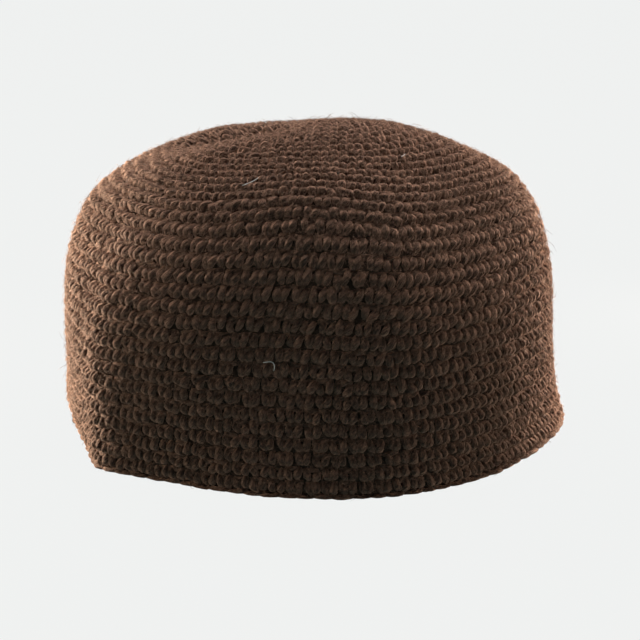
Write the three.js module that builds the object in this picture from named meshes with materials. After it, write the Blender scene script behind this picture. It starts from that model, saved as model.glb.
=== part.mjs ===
// A crocheted prayer cap: one piece of woolly yarn, worked in rounds of single crochet from the
// middle of the crown down to the rim. It stands open side down, as it does off the head, and keeps
// the folds that storing it flat has left in it. Millimetres, +Z up. The origin is the middle of the
// base, +X runs along the longer way of the oval, and azimuths count from +X towards +Y.

import * as THREE from 'three';

// Driving dimensions.
const ROUNDS = 35; // crochet rounds from the middle of the crown to the rim
const ROUND_PITCH = 5; // along the cloth from one round to the next
const CLOTH = 3.6; // thickness of the crochet over the crests of its rounds
const RIB = 0.9; // a round's crest over the groove beside it
const MEAN_RADIUS = 90; // the radius that the plan's pushes are given for
const SEGMENTS = 60; // facets around the cap
const INNER_STEP = 2; // rounds between two rings of the plain inside
const PROFILE_STEPS = 350; // short steps in which the profile is added up

// How steeply the cloth falls away at a round, in degrees below level.
const SLOPES = [
  { round: 0, slope: 7 },
  { round: 8, slope: 23 },
  { round: 13, slope: 26 },
  { round: 16, slope: 43 },
  { round: 19, slope: 73 },
  { round: 23, slope: 89 },
  { round: 28, slope: 86 },
  { round: 35, slope: 85 },
];

// The rounds at which the plan is given.
const LEVELS = { crown: 8, shoulder: 17, wall: 25, rim: 35 };

// How far the plan stands out from a circle at each level, every 30 degrees around the cap.
const PLAN = [
  { azimuth: 0, crown: 25, shoulder: 14, wall: 15, rim: 15 },
  { azimuth: 30, crown: 6, shoulder: 6, wall: -3, rim: 5 },
  { azimuth: 60, crown: -4, shoulder: -3, wall: -9, rim: -8 },
  { azimuth: 90, crown: -6, shoulder: -3, wall: -7, rim: -8 },
  { azimuth: 120, crown: 1, shoulder: 3, wall: 3, rim: 3 },
  { azimuth: 150, crown: 6, shoulder: -1, wall: 9, rim: 14 },
  { azimuth: 180, crown: -13, shoulder: -6, wall: 0, rim: -4 },
  { azimuth: 210, crown: -8, shoulder: -15, wall: -6, rim: -13 },
  { azimuth: 240, crown: -15, shoulder: -16, wall: -9, rim: -14 },
  { azimuth: 270, crown: -17, shoulder: -16, wall: -12, rim: -9 },
  { azimuth: 300, crown: -7, shoulder: -5, wall: 2, rim: 0 },
  { azimuth: 330, crown: 10, shoulder: 2, wall: 10, rim: 8 },
];

// Upright folds: how wide and how blunt in degrees, how far out at the rim, the round where a fold
// starts, and how it gathers on the way down, 1 for evenly and 2 for mostly near the rim.
const FOLDS = [
  { name: 'storage crease', azimuth: 219, width: 14, blunt: 3, push: 11.5, start: 15, gather: 1 },
  { name: 'flared rim', azimuth: 3, width: 7, blunt: 7, push: 5, start: 28, gather: 2 },
];

// The top's sideways shift, gone at round `until`.
const CROWN_SHIFT = { x: 10, y: -14, until: 17 };

// The top's soft hills and hollows, whole down to round `whole` and gone at round `gone`: the middle
// of each, how far it reaches along and across its own length, how that length is turned from +X
// in degrees, and its lift.
const SOFT_TOP = { whole: 14, gone: 24 };
const HILLS = [
  { name: 'near shoulder', x: 8, y: -70, along: 29, across: 29, turn: 0, lift: 5 },
  { name: 'middle hollow', x: -2, y: -8, along: 28, across: 28, turn: 0, lift: -5.5 },
  { name: 'crown crease', x: -22, y: -3, along: 24, across: 6, turn: -27, lift: -4.5 },
];

const { clamp, degToRad, smoothstep, euclideanModulo } = THREE.MathUtils;

// A smooth curve through values given at rising keys.
function smoothThrough(keys, values, key) {
  const last = keys.length - 1;
  const rateAt = (k) => {
    const before = Math.max(k - 1, 0);
    const after = Math.min(k + 1, last);
    return (values[after] - values[before]) / (keys[after] - keys[before]);
  };
  const place = clamp(key, keys[0], keys[last]);
  const next = clamp(keys.findIndex((k) => k > place), 1, last);
  const i = key >= keys[last] ? last - 1 : next - 1;
  const span = keys[i + 1] - keys[i];
  const t = (place - keys[i]) / span;
  const rise = t * t * (3 - 2 * t) * (values[i + 1] - values[i]);
  const leaving = t * (1 - t) ** 2 * span * rateAt(i);
  const arriving = t * t * (1 - t) * span * rateAt(i + 1);
  return values[i] + rise + leaving - arriving;
}

// A smooth closed curve through values spaced evenly around the cap.
function smoothAround(values, azimuth) {
  const count = values.length;
  const turn = (euclideanModulo(azimuth, 360) / 360) * count;
  const i = Math.floor(turn);
  const t = turn - i;
  const [a, b, c, d] = [-1, 0, 1, 2].map((k) => values[(i + k + count) % count]);
  return b + 0.5 * t * (c - a + t * (2 * a - 5 * b + 4 * c - d + t * (3 * (b - c) + d - a)));
}

// The profile: reach outwards and drop below the top at every short step down the cloth.
const profile = [{ reach: 0, drop: 0 }];
const slopeKeys = SLOPES.map((row) => row.round);
const slopeValues = SLOPES.map((row) => row.slope);
for (let step = 0; step < PROFILE_STEPS; step += 1) {
  const round = ((step + 0.5) / PROFILE_STEPS) * ROUNDS;
  const slope = degToRad(smoothThrough(slopeKeys, slopeValues, round));
  const length = (ROUNDS * ROUND_PITCH) / PROFILE_STEPS;
  const { reach, drop } = profile[step];
  profile.push({ reach: reach + length * Math.cos(slope), drop: drop + length * Math.sin(slope) });
}
const WALL_HEIGHT = profile[PROFILE_STEPS].drop;

function profileAt(round) {
  const step = (round / ROUNDS) * PROFILE_STEPS;
  const i = Math.min(Math.floor(step), PROFILE_STEPS - 1);
  const reach = THREE.MathUtils.lerp(profile[i].reach, profile[i + 1].reach, step - i);
  const drop = THREE.MathUtils.lerp(profile[i].drop, profile[i + 1].drop, step - i);
  return { reach, height: WALL_HEIGHT - drop };
}

// How far one upright fold pushes the cloth out.
function foldPush(fold, round, azimuth) {
  const away = euclideanModulo(azimuth - fold.azimuth + 180, 360) - 180;
  const near = Math.exp((fold.blunt - Math.hypot(away, fold.blunt)) / fold.width);
  const down = clamp((round - fold.start) / (ROUNDS - fold.start), 0, 1);
  return fold.push * near * down ** fold.gather;
}

// How far one hill or hollow lifts the cloth.
function hillLift(hill, x, y) {
  const turn = degToRad(hill.turn);
  const along = (x - hill.x) * Math.cos(turn) + (y - hill.y) * Math.sin(turn);
  const across = (y - hill.y) * Math.cos(turn) - (x - hill.x) * Math.sin(turn);
  return hill.lift * Math.exp(-((along / hill.along) ** 2) - (across / hill.across) ** 2);
}

// A point in the middle of a round's outer face, given by its round and its azimuth.
function clothPoint(round, azimuth) {
  const { reach, height } = profileAt(round);
  const columns = Object.keys(LEVELS).map((level) => PLAN.map((row) => row[level]));
  const pushes = columns.map((column) => smoothAround(column, azimuth));
  const push = smoothThrough(Object.values(LEVELS), pushes, round);
  const folds = FOLDS.reduce((sum, fold) => sum + foldPush(fold, round, azimuth), 0);
  const radius = reach * (1 + push / MEAN_RADIUS) + folds;
  const shift = clamp(1 - round / CROWN_SHIFT.until, 0, 1);
  const x = radius * Math.cos(degToRad(azimuth)) + shift * CROWN_SHIFT.x;
  const y = radius * Math.sin(degToRad(azimuth)) + shift * CROWN_SHIFT.y;
  const soft = 1 - smoothstep(round, SOFT_TOP.whole, SOFT_TOP.gone);
  const lift = HILLS.reduce((sum, hill) => sum + hillLift(hill, x, y), 0);
  return new THREE.Vector3(x, y, height + soft * lift);
}

// The cloth's outward direction at a point.
function clothNormal(round, azimuth) {
  const across = 0.25;
  const down = clothPoint(Math.min(round + across, ROUNDS), azimuth);
  const up = clothPoint(Math.max(round - across, 0.01), azimuth);
  const left = clothPoint(Math.max(round, 0.01), azimuth - 2);
  const right = clothPoint(Math.max(round, 0.01), azimuth + 2);
  return down.sub(up).cross(right.sub(left)).normalize();
}

// A ring of points around the cap, a depth below the crests of the rounds. At the rim the cloth is
// cut off level, so its ring keeps the rim's height.
function clothRing(round, depth) {
  const points = [];
  for (let i = 0; i < SEGMENTS; i += 1) {
    const azimuth = FOLDS[0].azimuth + (i * 360) / SEGMENTS;
    const point = clothPoint(round, azimuth);
    const normal = clothNormal(round, azimuth);
    if (round === ROUNDS) normal.setZ(0).normalize();
    points.push(point.addScaledVector(normal, RIB / 2 - depth));
  }
  return points;
}

// The closed surface: the ribbed outside from the middle of the crown to the rim, the level rim and
// the plain inside back to the middle.
function capGeometry() {
  const rings = [];
  for (let round = 1; round <= ROUNDS; round += 1) {
    rings.push(clothRing(round - 0.5, 0));
    rings.push(clothRing(round, RIB));
  }
  for (let round = ROUNDS; round > 0; round -= INNER_STEP) rings.push(clothRing(round, CLOTH));
  const top = clothPoint(0, 0);
  const outerPole = top.clone().setZ(top.z + RIB / 2);
  const innerPole = top.clone().setZ(top.z + RIB / 2 - CLOTH);
  const points = [outerPole, ...rings.flat(), innerPole];

  const triangles = [];
  const lastPole = points.length - 1;
  for (let i = 0; i < SEGMENTS; i += 1) {
    const j = (i + 1) % SEGMENTS;
    triangles.push(0, 1 + i, 1 + j);
    for (let ring = 0; ring < rings.length - 1; ring += 1) {
      const here = 1 + ring * SEGMENTS;
      const next = here + SEGMENTS;
      triangles.push(here + i, next + i, next + j);
      triangles.push(here + i, next + j, here + j);
    }
    const inner = 1 + (rings.length - 1) * SEGMENTS;
    triangles.push(lastPole, inner + j, inner + i);
  }

  const geometry = new THREE.BufferGeometry().setFromPoints(points);
  geometry.setIndex(triangles);
  geometry.computeBoundingBox();
  const middle = geometry.boundingBox.getCenter(new THREE.Vector3());
  geometry.translate(-middle.x, -middle.y, 0);
  geometry.computeVertexNormals();
  return geometry;
}

// Heathered dark chocolate wool with a matt, fuzzy surface.
const wool = new THREE.MeshStandardMaterial({ color: 0x4a3329, roughness: 0.95, metalness: 0 });
wool.name = 'brown_wool';

const crochetCap = new THREE.Mesh(capGeometry(), wool);
crochetCap.name = 'crochet_cap';

const cap = new THREE.Group();
cap.name = 'prayer_cap';
cap.add(crochetCap);

export default cap;
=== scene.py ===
import math

import bpy
import numpy as np
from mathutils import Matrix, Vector


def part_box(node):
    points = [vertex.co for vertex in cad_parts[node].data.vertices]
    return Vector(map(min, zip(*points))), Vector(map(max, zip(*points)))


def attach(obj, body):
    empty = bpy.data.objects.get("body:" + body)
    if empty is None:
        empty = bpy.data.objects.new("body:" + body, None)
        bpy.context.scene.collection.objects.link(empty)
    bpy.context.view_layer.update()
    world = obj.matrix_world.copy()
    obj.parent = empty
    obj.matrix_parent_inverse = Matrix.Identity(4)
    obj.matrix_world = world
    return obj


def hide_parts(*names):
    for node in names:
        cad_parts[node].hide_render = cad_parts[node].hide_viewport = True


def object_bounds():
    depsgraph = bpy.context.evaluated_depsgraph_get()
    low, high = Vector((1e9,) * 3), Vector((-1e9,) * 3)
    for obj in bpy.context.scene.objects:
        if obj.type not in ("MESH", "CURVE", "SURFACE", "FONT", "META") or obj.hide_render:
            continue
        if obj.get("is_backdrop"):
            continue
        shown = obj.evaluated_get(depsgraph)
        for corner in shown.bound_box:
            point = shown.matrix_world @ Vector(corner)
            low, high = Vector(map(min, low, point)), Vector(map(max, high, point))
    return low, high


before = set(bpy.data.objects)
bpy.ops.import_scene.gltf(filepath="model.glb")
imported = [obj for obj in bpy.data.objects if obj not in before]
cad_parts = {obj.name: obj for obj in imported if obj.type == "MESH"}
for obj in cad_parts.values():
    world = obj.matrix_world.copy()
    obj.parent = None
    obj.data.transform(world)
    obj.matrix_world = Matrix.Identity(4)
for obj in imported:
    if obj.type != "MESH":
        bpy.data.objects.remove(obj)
cad_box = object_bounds()
MM = 0.001


# ---------------------------------------------------------------------------------------------
# Camera: a long lens a little above the cap, looking slightly down on its dented front, with the
# storage crease at the left and the flared rim at the right.
# ---------------------------------------------------------------------------------------------
CAMERA_DISTANCE = 525 * MM
CAMERA_RISE = math.radians(16.4)
CAMERA_TARGET = Vector((4.2 * MM, 1.1 * MM, 38.4 * MM))
CAMERA_LENS = 76.7
CAMERA_FILM = 36
CAMERA_NEAREST = 0.01

camera_away = Vector((0, -math.cos(CAMERA_RISE), math.sin(CAMERA_RISE))) * CAMERA_DISTANCE
bpy.ops.object.camera_add(
    location=CAMERA_TARGET + camera_away,
    rotation=(math.pi / 2 - CAMERA_RISE, 0, 0),
)
camera = bpy.context.object
camera.name = "camera"
camera.data.lens = CAMERA_LENS
camera.data.sensor_width = CAMERA_FILM
camera.data.clip_start = CAMERA_NEAREST
bpy.context.scene.camera = camera


# ---------------------------------------------------------------------------------------------
# Studio: a pale table inside a light tent. The tent lights the cap from the sides and from behind
# more than from the front. The table and the tent are seen in one even pale colour and throw less
# light than that on the cap, so that the table stays almost free of shadow.
# ---------------------------------------------------------------------------------------------
TABLE_SIZE = 12
TABLE_SHOWN = (0.863, 0.875, 0.868, 1)
TABLE_GLOW = (0.25, 0.42, 0.44, 1)
TABLE_PAINT = (0.002, 0.002, 0.002, 1)
TENT_GLOW = (0.80, 0.95, 1.0, 1)
TENT_STRENGTH = 0.03


def plain_material(name, colour, roughness, specular):
    """A material of one colour, and its shader."""
    material = bpy.data.materials.new(name)
    material.use_nodes = True
    shader = material.node_tree.nodes["Principled BSDF"]
    shader.inputs["Base Color"].default_value = colour
    shader.inputs["Roughness"].default_value = roughness
    shader.inputs["Specular IOR Level"].default_value = specular
    return material, shader


bpy.ops.mesh.primitive_plane_add(size=TABLE_SIZE, location=(0, 0, 0))
table = bpy.context.object
table.name = "studio_table"
table_paint, table_shader = plain_material("pale_table", TABLE_PAINT, 0.9, 0.0)
table_shader.inputs["Emission Strength"].default_value = 1.0
nodes = table_paint.node_tree.nodes
links = table_paint.node_tree.links
table_path = nodes.new("ShaderNodeLightPath")
table_light = nodes.new("ShaderNodeMix")
table_light.data_type = "RGBA"
table_light.inputs["A"].default_value = TABLE_GLOW
table_light.inputs["B"].default_value = TABLE_SHOWN
links.new(table_path.outputs["Is Camera Ray"], table_light.inputs["Factor"])
links.new(table_light.outputs["Result"], table_shader.inputs["Emission Color"])
table.data.materials.append(table_paint)
table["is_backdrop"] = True

world = bpy.data.worlds.new("studio")
bpy.context.scene.world = world
world.use_nodes = True
nodes = world.node_tree.nodes
links = world.node_tree.links
tent_light = nodes["Background"]
tent_light.inputs["Color"].default_value = TENT_GLOW
tent_light.inputs["Strength"].default_value = TENT_STRENGTH
tent_shown = nodes.new("ShaderNodeBackground")
tent_shown.inputs["Color"].default_value = TABLE_SHOWN
tent_path = nodes.new("ShaderNodeLightPath")
tent = nodes.new("ShaderNodeMixShader")
links.new(tent_path.outputs["Is Camera Ray"], tent.inputs["Fac"])
links.new(tent_light.outputs["Background"], tent.inputs[1])
links.new(tent_shown.outputs["Background"], tent.inputs[2])
links.new(tent.outputs["Shader"], nodes["World Output"].inputs["Surface"])

# Lamps: name, azimuth and elevation in degrees, distance and size in metres, power in watts and
# colour. The two low ones stand for the light that the table throws up beside the cap.
WHITE_CLOTH = (1.0, 0.99, 0.95)
CREAM_CLOTH = (1.0, 0.94, 0.79)
WARM_CLOTH = (1.0, 0.85, 0.69)
LAMPS = [
    ("left_tent_wall", 187, 2, 0.7, 0.2, 3.5, CREAM_CLOTH),
    ("left_table_bounce", 164.5, -5, 0.28, 0.06, 4.0, CREAM_CLOTH),
    ("right_tent_wall", 2, 5, 1.0, 0.4, 6.3, WARM_CLOTH),
    ("right_table_bounce", 30, -5, 0.28, 0.06, 3.4, WARM_CLOTH),
    ("right_front_fill", -46, 8, 1.0, 0.5, 1.2, WHITE_CLOTH),
    ("tent_top", 84, 86, 1.0, 0.5, 12.5, WHITE_CLOTH),
    ("back_top", 90, 60, 1.0, 0.5, 19.0, WHITE_CLOTH),
]
LAMP_AIM = Vector((0, 0, 60 * MM))
for lamp_name, lamp_azimuth, lamp_rise, distance, size, power, tint in LAMPS:
    azimuth, rise = math.radians(lamp_azimuth), math.radians(lamp_rise)
    across = math.cos(rise)
    away = Vector((math.cos(azimuth) * across, math.sin(azimuth) * across, math.sin(rise)))
    facing = (-away).to_track_quat("-Z", "Y").to_euler()
    bpy.ops.object.light_add(type="AREA", location=LAMP_AIM + distance * away, rotation=facing)
    lamp = bpy.context.object
    lamp.name = lamp_name
    lamp.data.shape = "SQUARE"
    lamp.data.size = size
    lamp.data.energy = power
    lamp.data.color = tint

bpy.context.scene.view_settings.view_transform = "Standard"


# ---------------------------------------------------------------------------------------------
# The form of the cloth: the soft shell that every stitch is laid on. Its sizes are those of the
# cap's solid, in millimetres and degrees: rounds are counted from the middle of the crown down to
# the rim, and azimuths from +X towards +Y.
# ---------------------------------------------------------------------------------------------
ROUNDS = 35
ROUND_PITCH = 5.0
MEAN_RADIUS = 90.0
# How steeply the cloth falls away at a few rounds.
SLOPE_ROUNDS = np.array([0, 8, 13, 16, 19, 23, 28, 35])
SLOPE_DEGREES = np.array([7, 23, 26, 43, 73, 89, 86, 85])
# How far the plan stands out from a circle at four rounds, every 30 degrees around the cap.
PLAN_ROUNDS = np.array([8, 17, 25, 35])
PLAN_PUSHES = {
    "crown": [25, 6, -4, -6, 1, 6, -13, -8, -15, -17, -7, 10],
    "shoulder": [14, 6, -3, -3, 3, -1, -6, -15, -16, -16, -5, 2],
    "wall": [15, -3, -9, -7, 3, 9, 0, -6, -9, -12, 2, 10],
    "rim": [15, 5, -8, -8, 3, 14, -4, -13, -14, -9, 0, 8],
}
# The storage crease and the flared rim: how wide, how blunt, how far out at the rim, the round
# where the fold starts, and how it gathers on the way down.
FOLDS = [
    {"azimuth": 219, "width": 14, "blunt": 3, "push": 11.5, "start": 15, "gather": 1},
    {"azimuth": 3, "width": 7, "blunt": 7, "push": 5, "start": 28, "gather": 2},
]
# The top's sideways shift, and its hills and hollows, whole down to one round and gone at another.
CROWN_SHIFT = (10, -14)
CROWN_SHIFT_UNTIL = 17
SOFT_TOP = (14, 24)
HILLS = [
    {"x": 8, "y": -70, "along": 29, "across": 29, "turn": 0, "lift": 5},
    {"x": -2, "y": -8, "along": 28, "across": 28, "turn": 0, "lift": -5.5},
    {"x": -22, "y": -3, "along": 24, "across": 6, "turn": -27, "lift": -4.5},
]


def smooth_through(keys, rows, at):
    """A smooth curve through rows of values given at rising keys."""
    keys = np.asarray(keys, float)
    rows = np.asarray(rows, float)
    last = len(keys) - 1
    before = np.maximum(np.arange(last + 1) - 1, 0)
    after = np.minimum(np.arange(last + 1) + 1, last)
    gaps = (keys[after] - keys[before]).reshape((-1,) + (1,) * (rows.ndim - 1))
    rates = (rows[after] - rows[before]) / gaps
    place = np.clip(at, keys[0], keys[last])
    i = np.clip(np.searchsorted(keys, place, side="right") - 1, 0, last - 1)
    span = keys[i + 1] - keys[i]
    t = (place - keys[i]) / span
    pick = np.arange(len(place))
    tables = (rows, np.roll(rows, -1, 0), rates, np.roll(rates, -1, 0))
    low, high, leave, arrive = (
        table[i] if rows.ndim == 1 else table[i, pick] for table in tables
    )
    rise = t * t * (3 - 2 * t) * (high - low)
    return low + rise + t * (1 - t) ** 2 * span * leave - t * t * (1 - t) * span * arrive


def smooth_around(values, azimuth):
    """A smooth closed curve through values spaced evenly around the cap."""
    values = np.asarray(values, float)
    count = len(values)
    turn = (azimuth % 360) / 360 * count
    i = np.floor(turn).astype(int)
    t = turn - i
    a, b, c, d = (values[(i + k) % count] for k in (-1, 0, 1, 2))
    return b + 0.5 * t * (c - a + t * (2 * a - 5 * b + 4 * c - d + t * (3 * (b - c) + d - a)))


PROFILE_STEPS = 350
step_middles = (np.arange(PROFILE_STEPS) + 0.5) / PROFILE_STEPS * ROUNDS
step_slopes = np.radians(smooth_through(SLOPE_ROUNDS, SLOPE_DEGREES, step_middles))
step_length = ROUNDS * ROUND_PITCH / PROFILE_STEPS
profile_rounds = np.linspace(0, ROUNDS, PROFILE_STEPS + 1)
profile_reach = np.append(0, np.cumsum(np.cos(step_slopes))) * step_length
profile_drop = np.append(0, np.cumsum(np.sin(step_slopes))) * step_length


def cloth_point(rounds, azimuth):
    """Points in the middle of the rounds' outer face, given by round and azimuth."""
    reach = np.interp(rounds, profile_rounds, profile_reach)
    height = profile_drop[-1] - np.interp(rounds, profile_rounds, profile_drop)
    pushes = np.array([smooth_around(column, azimuth) for column in PLAN_PUSHES.values()])
    radius = reach * (1 + smooth_through(PLAN_ROUNDS, pushes, rounds) / MEAN_RADIUS)
    for fold in FOLDS:
        away = (azimuth - fold["azimuth"] + 180) % 360 - 180
        near = np.exp((fold["blunt"] - np.hypot(away, fold["blunt"])) / fold["width"])
        down = np.clip((rounds - fold["start"]) / (ROUNDS - fold["start"]), 0, 1)
        radius = radius + fold["push"] * near * down ** fold["gather"]
    shift = np.clip(1 - rounds / CROWN_SHIFT_UNTIL, 0, 1)
    x = radius * np.cos(np.radians(azimuth)) + shift * CROWN_SHIFT[0]
    y = radius * np.sin(np.radians(azimuth)) + shift * CROWN_SHIFT[1]
    fade = np.clip((rounds - SOFT_TOP[0]) / (SOFT_TOP[1] - SOFT_TOP[0]), 0, 1)
    soft = 1 - fade * fade * (3 - 2 * fade)
    for hill in HILLS:
        turn = math.radians(hill["turn"])
        along = (x - hill["x"]) * math.cos(turn) + (y - hill["y"]) * math.sin(turn)
        across = (y - hill["y"]) * math.cos(turn) - (x - hill["x"]) * math.sin(turn)
        lift = np.exp(-((along / hill["along"]) ** 2) - (across / hill["across"]) ** 2)
        height = height + soft * hill["lift"] * lift
    return np.stack([x, y, height], -1)


# The first round at which the cloth's direction is taken, and the steps over which it is taken,
# in rounds and degrees.
FIRST_ROUND = 0.3
ROUND_STEP = 0.25
AZIMUTH_STEP = 2


def cloth_normal(rounds, azimuth):
    """The cloth's outward directions at points given by round and azimuth."""
    rounds = np.maximum(rounds, FIRST_ROUND)
    down = cloth_point(np.minimum(rounds + ROUND_STEP, ROUNDS), azimuth)
    down = down - cloth_point(rounds - ROUND_STEP, azimuth)
    along = cloth_point(rounds, azimuth + AZIMUTH_STEP)
    along = along - cloth_point(rounds, azimuth - AZIMUTH_STEP)
    normal = np.cross(down, along)
    return normal / np.linalg.norm(normal, axis=-1, keepdims=True)


# The solid stands centred on the origin, so the cloth is moved there too.
WIDEST_FROM = 10
CENTRING_ROUNDS = 101
grid_rounds, grid_azimuths = np.meshgrid(
    np.linspace(WIDEST_FROM, ROUNDS, CENTRING_ROUNDS), np.arange(0, 360, 1.0)
)
form = cloth_point(grid_rounds.ravel(), grid_azimuths.ravel())
low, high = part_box("crochet_cap")
solid_middle = np.array([(low.x + high.x) / 2, (low.y + high.y) / 2]) / MM
CENTRING = np.append(solid_middle - (form.max(0) + form.min(0))[:2] / 2, 0)

# Stitches are spaced evenly along a round, so its azimuths are found from its girth.
LEVEL_STEP = 0.5
even_levels = np.arange(LEVEL_STEP, ROUNDS + LEVEL_STEP / 2, LEVEL_STEP)
SEAM_AZIMUTH = 90.0
EVEN_STEPS = 360
even_azimuths = np.zeros((len(even_levels), EVEN_STEPS + 1))
girths = np.zeros(len(even_levels))
for row, level in enumerate(even_levels):
    azimuths = SEAM_AZIMUTH + np.linspace(0, 360, EVEN_STEPS + 1)
    ring = cloth_point(np.full(EVEN_STEPS + 1, level), azimuths)
    lengths = np.append(0, np.cumsum(np.linalg.norm(np.diff(ring, axis=0), axis=1)))
    girths[row] = lengths[-1]
    even_azimuths[row] = np.interp(
        np.linspace(0, lengths[-1], EVEN_STEPS + 1), lengths, azimuths
    )


def azimuth_at(rounds, share):
    """Azimuth of a place given by its share of the way around its round."""
    whole = np.floor(share)
    column = (share - whole) * EVEN_STEPS
    j = np.minimum(column.astype(int), EVEN_STEPS - 1)
    # Just short of the last level, so that there is always one below.
    row = np.clip(rounds / LEVEL_STEP - 1, 0, len(even_levels) - 1.001)
    i = row.astype(int)
    t, u = row - i, column - j
    above = even_azimuths[i, j] * (1 - u) + even_azimuths[i, j + 1] * u
    below = even_azimuths[i + 1, j] * (1 - u) + even_azimuths[i + 1, j + 1] * u
    return above * (1 - t) + below * t + whole * 360


# Nothing is laid on the very middle of the crown or reaches down to the table.
MIDDLE_ROUND = 0.02
LOWEST = 0.15


def lay_on_cloth(rounds, share, height):
    """Places given by round, share of the way around and height over the cloth, in metres."""
    inside = np.clip(rounds, MIDDLE_ROUND, ROUNDS)
    azimuth = azimuth_at(inside, share)
    point = cloth_point(inside, azimuth)
    normal = cloth_normal(inside, azimuth)
    point = point + normal * np.asarray(height)[:, None] + CENTRING
    point[:, 2] -= np.maximum(rounds - ROUNDS, 0) * ROUND_PITCH
    point[:, 2] = np.maximum(point[:, 2], LOWEST)
    return point * MM


# ---------------------------------------------------------------------------------------------
# Yarn: thick, soft, loosely twisted wool in heathered dark chocolate. Its colour and its bump
# follow each strand through the `yarn` attribute: across, along and out of the strand, in
# millimetres. `tone` is a slight difference from strand to strand.
# ---------------------------------------------------------------------------------------------
YARN_DARK = (0.016, 0.0086, 0.0059, 1)
YARN_BROWN = (0.056, 0.0293, 0.0198, 1)
YARN_FLECK = (0.160, 0.084, 0.056, 1)
# Turn of the plies in radians a millimetre, and how rounded they are.
YARN_TWIST = 0.45
PLY_ROUNDNESS = 0.6
# Fibres and heather are drawn out along the yarn, and both have a share in its colour.
DRAWN_OUT = (1.0, 0.5, 1.0)
FIBRE_SCALE = 2.6
HEATHER_SCALE = 0.85
FIBRE_SHARE = 0.45
HEATHER_SHARE = 0.55
# Bump in millimetres.
PLY_DEPTH = 0.30
FIBRE_DEPTH = 0.50
LUMP_DEPTH = 0.7
# Lightness of the darkest strand, and what its tone and the broad patches add.
DARKEST = 0.72
TONE_GAIN = 0.26
PATCH_GAIN = 0.30
PATCH_SCALE = 28
FUZZ_TINT = (0.95, 0.53, 0.36, 1)


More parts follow.
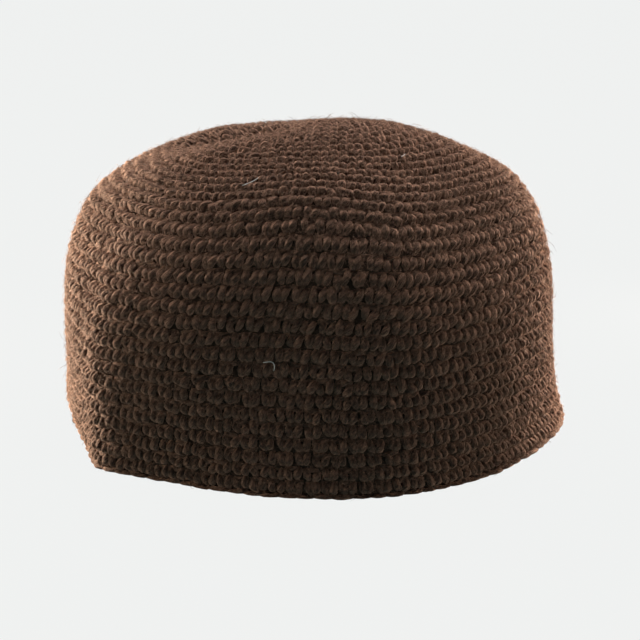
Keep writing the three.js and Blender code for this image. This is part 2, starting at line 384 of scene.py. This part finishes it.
def woollen_yarn(name, sheen):
    """The yarn's material, with the sheen of its fuzz."""
    wool = bpy.data.materials.new(name)
    wool.use_nodes = True
    nodes, links = wool.node_tree.nodes, wool.node_tree.links
    shader = nodes["Principled BSDF"]

    def node(kind, **settings):
        made = nodes.new(kind)
        for key, value in settings.items():
            setattr(made, key, value)
        return made

    def sums(operation, first, second):
        made = node("ShaderNodeMath", operation=operation)
        for socket, value in zip(made.inputs, (first, second)):
            if isinstance(value, (int, float)):
                socket.default_value = value
            else:
                links.new(value, socket)
        return made.outputs[0]

    def noise(vector, scale, detail, roughness):
        made = node("ShaderNodeTexNoise")
        made.inputs["Scale"].default_value = scale
        made.inputs["Detail"].default_value = detail
        made.inputs["Roughness"].default_value = roughness
        links.new(vector, made.inputs["Vector"])
        return made.outputs["Fac"]

    # The strand's own coordinates, turned more and more along it as the plies are twisted.
    place = node("ShaderNodeAttribute", attribute_name="yarn")
    split = node("ShaderNodeSeparateXYZ")
    links.new(place.outputs["Vector"], split.inputs[0])
    turn = node("ShaderNodeVectorRotate", rotation_type="Y_AXIS")
    links.new(place.outputs["Vector"], turn.inputs["Vector"])
    links.new(sums("MULTIPLY", split.outputs["Y"], YARN_TWIST), turn.inputs["Angle"])
    turned = node("ShaderNodeSeparateXYZ")
    links.new(turn.outputs["Vector"], turned.inputs[0])

    # Four plies: a rounded hump each and a groove between two, from the turned angle.
    angle = sums("ARCTAN2", turned.outputs["Z"], turned.outputs["X"])
    wave = sums("ABSOLUTE", sums("SINE", sums("MULTIPLY", angle, 2.0), 0), 0)
    ply = sums("POWER", wave, PLY_ROUNDNESS)

    # Fibres: fine streaks drawn out along the plies.
    drawn = node("ShaderNodeVectorMath", operation="MULTIPLY")
    links.new(turn.outputs["Vector"], drawn.inputs[0])
    drawn.inputs[1].default_value = DRAWN_OUT
    fibres = noise(drawn.outputs[0], FIBRE_SCALE, 4, 0.7)

    # Heather: fibres of a few browns, in soft patches along the yarn.
    heather = noise(drawn.outputs[0], HEATHER_SCALE, 4, 0.75)
    browns = node("ShaderNodeValToRGB")
    browns.color_ramp.elements[0].position = 0.43
    browns.color_ramp.elements[0].color = YARN_DARK
    browns.color_ramp.elements[1].position = 0.59
    browns.color_ramp.elements[1].color = YARN_FLECK
    browns.color_ramp.elements.new(0.51).color = YARN_BROWN
    fibre_part = sums("MULTIPLY", fibres, FIBRE_SHARE)
    heather_part = sums("MULTIPLY", heather, HEATHER_SHARE)
    links.new(sums("ADD", fibre_part, heather_part), browns.inputs["Fac"])

    # Each strand is a little lighter or darker, and the cap has broad faint patches.
    tone = node("ShaderNodeAttribute", attribute_name="tone")
    place_on_cap = node("ShaderNodeTexCoord")
    patches = noise(place_on_cap.outputs["Object"], PATCH_SCALE, 2, 0.5)
    depth = sums("ADD", DARKEST, sums("MULTIPLY", tone.outputs["Fac"], TONE_GAIN))
    depth = sums("ADD", depth, sums("MULTIPLY", patches, PATCH_GAIN))
    shade = node("ShaderNodeMix", data_type="RGBA", blend_type="MULTIPLY")
    shade.inputs["Factor"].default_value = 1.0
    links.new(browns.outputs["Color"], shade.inputs["A"])
    grey = node("ShaderNodeCombineColor")
    for channel in ("Red", "Green", "Blue"):
        links.new(depth, grey.inputs[channel])
    links.new(grey.outputs["Color"], shade.inputs["B"])
    links.new(shade.outputs["Result"], shader.inputs["Base Color"])

    bump = node("ShaderNodeBump")
    bump.inputs["Strength"].default_value = 1.0
    bump.inputs["Distance"].default_value = 1.0 * MM
    relief = sums("ADD", sums("MULTIPLY", ply, PLY_DEPTH), sums("MULTIPLY", fibres, FIBRE_DEPTH))
    relief = sums("ADD", relief, sums("MULTIPLY", heather, LUMP_DEPTH))
    links.new(relief, bump.inputs["Height"])
    links.new(bump.outputs["Normal"], shader.inputs["Normal"])

    shader.inputs["Roughness"].default_value = 0.95
    shader.inputs["Specular IOR Level"].default_value = 0.15
    shader.inputs["Sheen Weight"].default_value = sheen
    shader.inputs["Sheen Roughness"].default_value = 0.4
    shader.inputs["Sheen Tint"].default_value = FUZZ_TINT
    return wool


stitch_wool = woollen_yarn("brown_wool", sheen=0.6)


# ---------------------------------------------------------------------------------------------
# Outside stitches: single crochet in rounds. Each stitch shows two fat, fuzzy legs of yarn side
# by side, with small dark gaps between legs, and the loops of the round above lie behind them in
# the groove between two rounds.
# ---------------------------------------------------------------------------------------------
STITCH_WIDTH = 6.1
STRAND_SIDES = 6
LOOP_SIDES = 5
# The middle of the crown starts with a few stitches.
FEWEST_STITCHES = 5
# Yarn pressed into the cloth is flatter than it is wide.
YARN_FLATNESS = 0.85
# Across, down and out from the cloth's face, and the strand's radius, in millimetres.
LEFT_LEG = [
    (1.20, -0.50, -2.80, 0.85),
    (1.34, 0.35, -1.45, 1.18),
    (1.48, 1.25, -0.75, 1.44),
    (1.62, 2.25, -0.45, 1.52),
    (1.80, 3.20, -0.75, 1.42),
    (2.00, 4.10, -1.75, 1.10),
    (2.15, 4.90, -3.20, 0.70),
]
RIGHT_LEG = [
    (4.92, -0.50, -2.80, 0.85),
    (4.80, 0.35, -1.35, 1.18),
    (4.66, 1.25, -0.60, 1.44),
    (4.50, 2.25, -0.30, 1.54),
    (4.30, 3.20, -0.60, 1.44),
    (4.08, 4.10, -1.65, 1.12),
    (3.90, 4.90, -3.20, 0.70),
]
LOOP = [
    (0.0, 0.25, -2.3, 1.2),
    (2.0, 0.55, -2.0, 1.3),
    (4.1, 0.20, -2.1, 1.3),
    (6.1, 0.25, -2.3, 1.2),
]


def vertices_of(piece):
    """A piece's vertices as rows of three numbers."""
    points = np.empty(len(piece.data.vertices) * 3, np.float32)
    piece.data.vertices.foreach_get("co", points)
    return points.reshape(-1, 3).astype(float)


def set_values(piece, name, kind, values):
    """Keep a number or a vector for each vertex of a piece."""
    attributes = piece.data.attributes
    kept = attributes.get(name) or attributes.new(name, kind, "POINT")
    key = "vector" if kind == "FLOAT_VECTOR" else "value"
    kept.data.foreach_set(key, np.asarray(values, np.float32).ravel())


def model_strand(name, stations, sides, along="Y", flatness=YARN_FLATNESS):
    """One bulging length of yarn, drawn out ring by ring through its stations."""
    bpy.ops.object.select_all(action="DESELECT")
    facing = (math.pi / 2, 0, 0) if along == "Y" else (0, math.pi / 2, 0)
    x, y, z, radius = stations[0]
    bpy.ops.mesh.primitive_circle_add(
        vertices=sides, radius=radius, fill_type="NGON", location=(x, y, z), rotation=facing
    )
    made = bpy.context.object
    made.name = name
    made["strands"] = 1
    bpy.ops.object.mode_set(mode="EDIT")
    for here, there in zip(stations, stations[1:]):
        step = [b - a for a, b in zip(here[:3], there[:3])]
        bpy.ops.mesh.extrude_region_move(TRANSFORM_OT_translate={"value": step})
        swell = there[3] / here[3]
        bpy.ops.transform.resize(value=(swell, swell, swell), center_override=there[:3])
    bpy.ops.mesh.select_all(action="SELECT")
    bpy.ops.mesh.normals_make_consistent(inside=False)
    bpy.ops.object.mode_set(mode="OBJECT")
    bpy.ops.object.transform_apply(location=True, rotation=True, scale=True)

    # The strand's own coordinates, straightened: across, along and out from its middle line.
    points = vertices_of(made)
    run = 1 if along == "Y" else 0
    middles = np.array(stations)
    order = np.argsort(middles[:, run])
    yarn = points.copy()
    for side in {0, 1, 2} - {run}:
        yarn[:, side] -= np.interp(points[:, run], middles[order, run], middles[order, side])
    if along == "X":
        yarn = yarn[:, [1, 0, 2]]
    set_values(made, "yarn", "FLOAT_VECTOR", yarn)
    points[:, 2] *= flatness
    made.data.vertices.foreach_set("co", points.astype(np.float32).ravel())
    return made


def select(pieces):
    """Only these pieces selected, and the first one active."""
    bpy.ops.object.select_all(action="DESELECT")
    for piece in pieces:
        piece.select_set(True)
    bpy.context.view_layer.objects.active = pieces[0]


def join(pieces, name):
    """The pieces as one, with a name and smooth faces."""
    select(pieces)
    if len(pieces) > 1:
        bpy.ops.object.join()
    joined = bpy.context.object
    joined["strands"] = len(pieces)
    joined.name = name
    joined.data.name = name
    bpy.ops.object.shade_smooth()
    return joined


def repeat(pattern, count):
    """Copies of a pattern side by side in one piece, one stitch's width apart."""
    select([pattern])
    bpy.ops.object.duplicate()
    row = bpy.context.object
    array = row.modifiers.new("row", "ARRAY")
    array.count = count
    array.use_relative_offset = False
    array.use_constant_offset = True
    array.constant_offset_displace = (STITCH_WIDTH, 0, 0)
    bpy.ops.object.modifier_apply(modifier=array.name)
    return row


def crochet_round(pattern, number, top, bottom, phase, dice):
    """One round of stitches: the pattern repeated round the cap, each copy a little different."""
    level = min(max((top + bottom) / 2, LEVEL_STEP), ROUNDS)
    girth = float(np.interp(level, even_levels, girths))
    count = max(FEWEST_STITCHES, round(girth / STITCH_WIDTH))
    row = repeat(pattern, count)
    points = vertices_of(row)
    stitch = np.repeat(np.arange(count), len(points) // count)
    strands = count * pattern["strands"]
    strand = np.repeat(np.arange(strands), len(points) // strands)
    centre_x = (stitch + 0.5) * STITCH_WIDTH
    centre_y = ROUND_PITCH / 2
    lean = np.radians(dice.normal(0, LEAN_SPREAD, count))[stitch]
    swell = (1 + dice.normal(0, SIZE_SPREAD, count))[stitch]
    shift_x = dice.normal(0, SHIFT_SPREAD, strands)[strand]
    shift_y = dice.normal(0, SHIFT_SPREAD, strands)[strand]
    lift = dice.normal(0, LIFT_SPREAD, strands)[strand]
    x, y = (points[:, 0] - centre_x) * swell, (points[:, 1] - centre_y) * swell
    across = centre_x + x * np.cos(lean) - y * np.sin(lean) + shift_x
    down = centre_y + x * np.sin(lean) + y * np.cos(lean) + shift_y
    rounds = top + down / ROUND_PITCH * (bottom - top)
    share = (across / STITCH_WIDTH + phase) / count
    rough = dice.normal(0, YARN_ROUGHNESS, (3, len(points)))
    share = share + rough[0] / STITCH_WIDTH / count
    rounds = rounds + rough[1] / ROUND_PITCH
    laid = lay_on_cloth(rounds, share, points[:, 2] + lift + rough[2])
    row.data.vertices.foreach_set("co", laid.astype(np.float32).ravel())
    set_values(row, "tone", "FLOAT", dice.random(strands)[strand])
    yarn = np.empty(len(points) * 3, np.float32)
    row.data.attributes["yarn"].data.foreach_get("vector", yarn)
    yarn = yarn.reshape(-1, 3)
    yarn[:, 1] += (stitch * YARN_A_STITCH + number * YARN_A_ROUND).astype(np.float32)
    set_values(row, "yarn", "FLOAT_VECTOR", yarn)
    row.data.update()
    return row


def make_band(pattern, name, first, last, dice):
    """Rounds of one pattern as one piece of the cap."""
    rows = [
        crochet_round(pattern, k, ROUND_TOPS[k], ROUND_TOPS[k + 1], k * ROUND_LEAN, dice)
        for k in range(first, last)
    ]
    band = join(rows, name)
    band.data.materials.clear()
    band.data.materials.append(stitch_wool)
    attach(band, "root")


# How unevenly the hand works: the spread of a stitch's lean in degrees and of its size as a
# share, and of a leg's place and height in millimetres.
LEAN_SPREAD = 6.5
SIZE_SPREAD = 0.055
SHIFT_SPREAD = 0.25
LIFT_SPREAD = 0.16
# How far the lumps of the yarn's surface stray, in millimetres.
YARN_ROUGHNESS = 0.13
# Yarn used by a stitch and offset from round to round, so that no two stitches look alike.
YARN_A_STITCH = 17.3
YARN_A_ROUND = 411.7
# Every round starts a little on from the one above, because the stitches lean.
ROUND_LEAN = 0.43
# The chain along the edge draws the last rounds up a little.
ROUND_TOPS = np.append(np.arange(0, 33.0), [33.0, 33.94, 34.90])
BANDS = [("crown", 0, 16), ("shoulder", 16, 23), ("upper_side", 23, 29), ("lower_side", 29, 35)]

left_leg = model_strand("left_leg", LEFT_LEG, STRAND_SIDES)
right_leg = model_strand("right_leg", RIGHT_LEG, STRAND_SIDES)
loop = model_strand("loop", LOOP, LOOP_SIDES, along="X")
front_stitch = join([left_leg, right_leg], "front_stitch")
hand = np.random.default_rng(35)
for band_name, first, last in BANDS:
    make_band(front_stitch, band_name + "_stitches", first, last, hand)
make_band(loop, "round_loops", 1, ROUNDS, hand)
bpy.data.objects.remove(front_stitch)
bpy.data.objects.remove(loop)


# ---------------------------------------------------------------------------------------------
# Edge chain: the loops of the last round lie bare along the rim, one slanting strand a stitch at
# the front and one behind it, and catch the light as a thin lip.
# ---------------------------------------------------------------------------------------------
EDGE_FRONT = [
    (-2.2, 4.00, -2.0, 1.00),
    (-0.4, 4.25, -1.0, 1.35),
    (1.6, 4.45, -0.5, 1.50),
    (3.6, 4.55, -0.4, 1.52),
    (5.6, 4.40, -0.7, 1.42),
    (7.4, 4.10, -1.7, 1.05),
]
EDGE_DEPTH = 1.5
EDGE_BACK = [(x, y, z - EDGE_DEPTH, r) for x, y, z, r in EDGE_FRONT]
EDGE_TOP = 34.15
EDGE_BOTTOM = 35.2
EDGE_START = 0.2
edge_front = model_strand("edge_front", EDGE_FRONT, STRAND_SIDES, along="X", flatness=1.0)
edge_back = model_strand("edge_back", EDGE_BACK, STRAND_SIDES, along="X", flatness=1.0)
edge_stitch = join([edge_front, edge_back], "edge_stitch")
edge_hand = np.random.default_rng(8)
edge_row = crochet_round(edge_stitch, ROUNDS, EDGE_TOP, EDGE_BOTTOM, EDGE_START, edge_hand)
edge = join([edge_row], "edge_chain")
edge.data.materials.clear()
edge.data.materials.append(stitch_wool)
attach(edge, "root")
bpy.data.objects.remove(edge_stitch)


# ---------------------------------------------------------------------------------------------
# Inside stitches: the wrong side of single crochet. Each stitch shows a short bar of yarn lying
# along the round, over the foot of a slanting leg.
# ---------------------------------------------------------------------------------------------
INSIDE_SIDES = 4
INSIDE_CROWN_ENDS = 18
INSIDE_BAR = [
    (-0.4, 1.3, -2.5, 0.9),
    (1.6, 0.8, -3.1, 1.2),
    (4.4, 0.9, -3.1, 1.2),
    (6.4, 1.5, -2.5, 0.9),
]
INSIDE_LEG = [
    (1.6, 1.6, -2.3, 1.0),
    (2.4, 2.6, -2.9, 1.3),
    (3.6, 3.8, -2.9, 1.3),
    (4.4, 5.2, -2.3, 1.0),
]
inside_bar = model_strand("inside_bar", INSIDE_BAR, INSIDE_SIDES, along="X", flatness=1.0)
inside_leg = model_strand("inside_leg", INSIDE_LEG, INSIDE_SIDES, flatness=1.0)
inside_stitch = join([inside_bar, inside_leg], "inside_stitch")
inside_hand = np.random.default_rng(11)
make_band(inside_stitch, "inside_crown_stitches", 0, INSIDE_CROWN_ENDS, inside_hand)
make_band(inside_stitch, "inside_side_stitches", INSIDE_CROWN_ENDS, ROUNDS, inside_hand)
bpy.data.objects.remove(inside_stitch)


# ---------------------------------------------------------------------------------------------
# Core: the strands in the thick of the cloth, behind the holes between stitches. A plain closed
# skin stands for them, since only a dark glimpse of it shows. Its colour is the yarn's brown with
# painted shade: darker than the yarn, for the shade that lies in the holes.
# ---------------------------------------------------------------------------------------------
CORE_OUTER = -1.3
CORE_INNER = -2.5
CORE_FACETS = 96
CORE_RIM = 34.9
# The yarn's brown with painted shade: darker than the yarn itself, for the shade in the holes
# between stitches.
CORE_SHADED_BROWN = (0.030, 0.018, 0.013, 1)
core_rounds = np.append(np.arange(0.5, CORE_RIM, 1.0), CORE_RIM)
core_strips = 2 * len(core_rounds) - 1
bpy.ops.object.select_all(action="DESELECT")
bpy.ops.mesh.primitive_grid_add(x_subdivisions=CORE_FACETS, y_subdivisions=core_strips, size=2)
core = bpy.context.object
core.name = "cloth_core"
core_points = vertices_of(core)
core_columns = np.rint((core_points[:, 0] + 1) / 2 * CORE_FACETS)
core_lines = np.rint((core_points[:, 1] + 1) / 2 * core_strips).astype(int)
core_path = np.append(core_rounds, core_rounds[::-1])
core_heights = np.repeat([CORE_OUTER, CORE_INNER], len(core_rounds))
laid = lay_on_cloth(core_path[core_lines], core_columns / CORE_FACETS, core_heights[core_lines])
core.data.vertices.foreach_set("co", laid.astype(np.float32).ravel())
core.data.update()
bpy.ops.object.mode_set(mode="EDIT")
bpy.ops.mesh.select_all(action="SELECT")
bpy.ops.mesh.remove_doubles(threshold=0.01 * MM)
bpy.ops.mesh.select_all(action="DESELECT")
bpy.ops.mesh.select_non_manifold()
bpy.ops.mesh.fill_holes(sides=0)
bpy.ops.mesh.select_all(action="SELECT")
bpy.ops.mesh.normals_make_consistent(inside=False)
bpy.ops.object.mode_set(mode="OBJECT")
bpy.ops.object.shade_smooth()
core_wool_and_shade, _ = plain_material("core_wool_and_shade", CORE_SHADED_BROWN, 1.0, 0.0)
core.data.materials.append(core_wool_and_shade)
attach(core, "root")
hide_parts("crochet_cap")


# ---------------------------------------------------------------------------------------------
# Fuzz: loose fibres that stand out of the yarn all over the outside. Seen face on they only
# soften the stitches, but at a glancing look they veil them like felt.
# ---------------------------------------------------------------------------------------------
FIBRE_THICKNESS = 0.058
FIBRE_BROWN = (0.105, 0.057, 0.039, 1)
# Spread of the lengths, and the shortest and longest against the mean.
LENGTH_SPREAD = 0.4
SHORTEST = 0.4
LONGEST = 2.2
# How far a fibre turns in radians, how high it is rooted in millimetres, how steeply it rises and
# how it arches.
FIBRE_TURN = 0.7
FIBRE_ROOT = (0.1, 0.8)
FIBRE_RISE = (0.20, 0.22)
FIBRE_ARCH = 0.12
# Name, first and last round, how many, their mean length in millimetres and whether they curl.
FIBRES = [
    ("crown_nap", 0.6, 19.0, 38000, 1.7, False),
    ("side_nap", 19.0, 34.9, 49500, 1.7, False),
    ("loose_hairs", 0.6, 34.9, 4000, 2.5, True),
]

fuzz_wool, fuzz_shader = plain_material("wool_fuzz", FIBRE_BROWN, 0.8, 0.2)
fuzz_shader.inputs["Sheen Weight"].default_value = 0.3
fuzz_shader.inputs["Sheen Roughness"].default_value = 0.5
fuzz_shader.inputs["Sheen Tint"].default_value = FUZZ_TINT


def spikes(middles, dice):
    """Corners and faces of closed three-sided spikes drawn through rows of middles."""
    count = len(middles[0])
    along = middles[-1] - middles[0]
    first_side = np.cross(along, dice.normal(0, 1, (count, 3)))
    first_side /= np.linalg.norm(first_side, axis=1, keepdims=True)
    second_side = np.cross(along, first_side)
    second_side /= np.linalg.norm(second_side, axis=1, keepdims=True)
    corners = []
    for middle in middles[:-1]:
        for k in range(3):
            angle = 2 * math.pi * k / 3
            ring = math.cos(angle) * first_side + math.sin(angle) * second_side
            corners.append(middle + ring * FIBRE_THICKNESS * MM)
    corners.append(middles[-1])
    tip = len(corners) - 1
    spike = [(0, 2, 1)]
    for a, b in ((0, 1), (1, 2), (2, 0)):
        for ring in range(0, tip - 3, 3):
            spike += [(a + ring, b + ring, b + ring + 3), (a + ring, b + ring + 3, a + ring + 3)]
        spike.append((a + tip - 3, b + tip - 3, tip))
    steps = len(corners) * np.arange(count)[:, None, None]
    faces = (np.array(spike)[None] + steps).reshape(-1, 3)
    return np.stack(corners, 1).reshape(-1, 3), faces


def grow_fibres(name, first, last, count, mean_length, curls, dice):
    """Fine fibres, straight or curved in two lengths, laid over the outside as one piece."""
    levels = np.linspace(first, last, 200)
    weights = np.cumsum(np.interp(levels, even_levels, girths))
    rounds = np.interp(dice.random(count), weights / weights[-1], levels)
    share = dice.random(count)
    girth = np.interp(rounds, even_levels, girths)
    length = mean_length * np.clip(dice.lognormal(0, LENGTH_SPREAD, count), SHORTEST, LONGEST)
    heading = dice.uniform(0, 2 * np.pi, count)
    bend = dice.normal(0, FIBRE_TURN, count)
    root = dice.uniform(*FIBRE_ROOT, count)
    rise = np.abs(dice.normal(*FIBRE_RISE, count))
    parts = (0.0, 0.5, 1.0) if curls else (0.0, 1.0)
    middles = []
    for part in parts:
        turn = heading + (bend if part == 1 else 0)
        run = length * part
        across = share + run * np.cos(turn) / girth
        down = rounds + run * np.sin(turn) / ROUND_PITCH
        out = root + length * (rise * part + FIBRE_ARCH * np.sin(np.pi * part))
        middles.append(lay_on_cloth(down, across, out))
    points, faces = spikes(middles, dice)
    mesh = bpy.data.meshes.new(name)
    mesh.from_pydata(points.tolist(), [], faces.tolist())
    fuzz = bpy.data.objects.new(name, mesh)
    bpy.context.scene.collection.objects.link(fuzz)
    mesh.materials.append(fuzz_wool)
    select([fuzz])
    bpy.ops.object.shade_smooth()
    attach(fuzz, "root")


fibre_dice = np.random.default_rng(21)
for fuzz_name, first, last, count, mean_length, curls in FIBRES:
    grow_fibres(fuzz_name, first, last, count, mean_length, curls, fibre_dice)


# ---------------------------------------------------------------------------------------------
# Lint: three stray pale fibres that have caught in the wool, each a thin curved thread lying over
# the stitches.
# ---------------------------------------------------------------------------------------------
LINT_THICKNESS = 0.13
LINT_HEIGHT = 1.3
LINT_PALE = (0.42, 0.39, 0.37, 1)
# The run of each thread across and down in millimetres, from where it lies.
CURLED = [(-2.6, -0.6), (-1.0, -0.6), (0.5, -1.9), (1.9, -0.1), (1.2, 2.1)]
CROOKED = [(-2.3, 1.9), (-1.1, 1.0), (0.0, 0.1), (1.3, -0.8), (1.5, -2.6)]
SHORT = [(-1.4, 0.8), (-0.7, 0.2), (0.0, 0.0), (0.7, -0.3), (1.3, -0.9)]
# Name, round and share of the way around where it lies, and its run.
LINTS = [
    ("curled_lint", 25.9, 0.4847, CURLED),
    ("crooked_lint", 13.4, 0.4361, CROOKED),
    ("short_lint", 9.6, 0.5986, SHORT),
]
lint_wool, _ = plain_material("pale_lint", LINT_PALE, 0.7, 0.5)
for lint_name, lint_round, lint_share, run in LINTS:
    bpy.ops.object.select_all(action="DESELECT")
    bpy.ops.curve.primitive_nurbs_path_add(location=(0, 0, 0))
    lint = bpy.context.object
    lint.name = lint_name
    for point, (across, down) in zip(lint.data.splines[0].points, run):
        point.co = (across, down, 0, 1)
    lint.data.bevel_depth = LINT_THICKNESS
    lint.data.bevel_resolution = 1
    lint.data.resolution_u = 3
    lint.data.use_fill_caps = True
    bpy.ops.object.convert(target="MESH")
    points = vertices_of(lint)
    girth = np.interp(lint_round, even_levels, girths)
    laid = lay_on_cloth(
        lint_round + points[:, 1] / ROUND_PITCH,
        lint_share + points[:, 0] / girth,
        LINT_HEIGHT + points[:, 2],
    )
    lint.data.vertices.foreach_set("co", laid.astype(np.float32).ravel())
    bpy.ops.object.mode_set(mode="EDIT")
    bpy.ops.mesh.select_all(action="SELECT")
    bpy.ops.mesh.remove_doubles(threshold=0.001 * MM)
    bpy.ops.mesh.normals_make_consistent(inside=False)
    bpy.ops.object.mode_set(mode="OBJECT")
    bpy.ops.object.shade_smooth()
    lint.data.materials.clear()
    lint.data.materials.append(lint_wool)
    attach(lint, "root")


# Sizes of the solid and of the finished cap.
size = {
    "cad": [list(corner) for corner in cad_box],
    "visual": [list(corner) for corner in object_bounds()],
}
